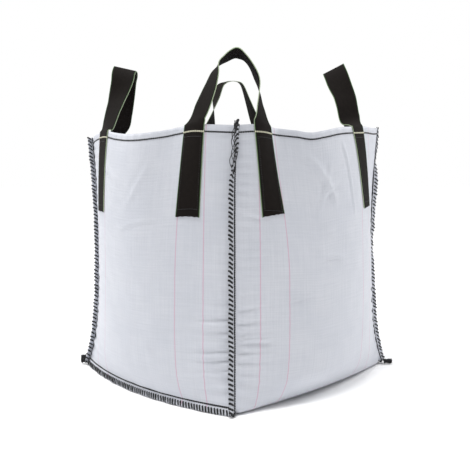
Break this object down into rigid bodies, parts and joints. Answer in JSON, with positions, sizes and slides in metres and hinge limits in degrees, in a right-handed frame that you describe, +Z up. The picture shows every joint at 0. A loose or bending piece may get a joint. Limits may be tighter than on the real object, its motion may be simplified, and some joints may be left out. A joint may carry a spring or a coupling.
{
  "type": "bulk bag",
  "caption": "Open-top square bag of woven fabric with webbing lifting loops across its corners, overlocked corner and base seams and a stitched hem.",
  "frame": {"origin": "centre of the base, on the floor", "axes": "+Z up out of the open top, -Y towards the front side panel, +X towards the right wall of the long panel"},
  "size_m": [1.1336, 1.1336, 1.2914],
  "materials": {
    "woven_fabric": "white woven polypropylene, slightly glossy",
    "black_webbing": "black woven polypropylene webbing, matt",
    "black_thread": "black multifilament sewing thread",
    "olive_thread": "pale olive sewing thread"
  },
  "bodies": {
    "root": {"u_panel": "woven_fabric", "side_panel_front": "woven_fabric", "base_overlock_front": "black_thread", "base_chain_stitch_front": "black_thread", "side_panel_back": "woven_fabric", "base_overlock_back": "black_thread", "base_chain_stitch_back": "black_thread", "hem_chain_stitch_front": "black_thread", "strap_cross_stitch_front": "olive_thread", "hem_chain_stitch_right": "black_thread", "strap_cross_stitch_right": "olive_thread", "hem_chain_stitch_back": "black_thread", "strap_cross_stitch_back": "olive_thread", "hem_chain_stitch_left": "black_thread", "strap_cross_stitch_left": "olive_thread", "corner_seam_edges_front_right": "woven_fabric", "corner_overlock_front_right": "black_thread", "corner_chain_stitch_front_right": "black_thread", "loop_fold_front_right": "black_webbing", "loop_leg_front_right_on_front": "black_webbing", "leg_stitching_front_right_on_front": "black_thread", "loop_leg_front_right_on_right": "black_webbing", "leg_stitching_front_right_on_right": "black_thread", "corner_seam_edges_back_right": "woven_fabric", "corner_overlock_back_right": "black_thread", "corner_chain_stitch_back_right": "black_thread", "loop_fold_back_right": "black_webbing", "loop_leg_back_right_on_right": "black_webbing", "leg_stitching_back_right_on_right": "black_thread", "loop_leg_back_right_on_back": "black_webbing", "leg_stitching_back_right_on_back": "black_thread", "corner_seam_edges_back_left": "woven_fabric", "corner_overlock_back_left": "black_thread", "corner_chain_stitch_back_left": "black_thread", "loop_fold_back_left": "black_webbing", "loop_leg_back_left_on_back": "black_webbing", "leg_stitching_back_left_on_back": "black_thread", "loop_leg_back_left_on_left": "black_webbing", "leg_stitching_back_left_on_left": "black_thread", "corner_seam_edges_front_left": "woven_fabric", "corner_overlock_front_left": "black_thread", "corner_chain_stitch_front_left": "black_thread", "loop_fold_front_left": "black_webbing", "loop_leg_front_left_on_left": "black_webbing", "leg_stitching_front_left_on_left": "black_thread", "loop_leg_front_left_on_front": "black_webbing", "leg_stitching_front_left_on_front": "black_thread", "seam_knot_back_right": "black_thread", "seam_knot_front_left": "black_thread"},
    "loop_front_right": {"loop_arch_front_right": "black_webbing"},
    "loop_back_right": {"loop_arch_back_right": "black_webbing"},
    "loop_back_left": {"loop_arch_back_left": "black_webbing"},
    "loop_front_left": {"loop_arch_front_left": "black_webbing"}
  },
  "joints": [
    {"name": "loop_front_right_fold", "type": "hinge", "parent": "root", "child": "loop_front_right", "pos_m": [0.38295, -0.40885, 1.04543], "axis": [0.7536, 0.6574, 0], "range_deg": [-115, 125], "deforming": ["loop_fold_front_right"]},
    {"name": "loop_back_right_fold", "type": "hinge", "parent": "root", "child": "loop_back_right", "pos_m": [0.40096, 0.32611, 1.05436], "axis": [-0.5924, 0.8057, 0], "range_deg": [-95, 125], "deforming": ["loop_fold_back_right"]},
    {"name": "loop_back_left_fold", "type": "hinge", "parent": "root", "child": "loop_back_left", "pos_m": [-0.3863, 0.3863, 1.04486], "axis": [-0.7071, -0.7071, 0], "range_deg": [-115, 125], "deforming": ["loop_fold_back_left"]},
    {"name": "loop_front_left_fold", "type": "hinge", "parent": "root", "child": "loop_front_left", "pos_m": [-0.37667, -0.3892, 1.03056], "axis": [0.727, -0.6867, 0], "range_deg": [-105, 125], "deforming": ["loop_fold_front_left"]}
  ]
}
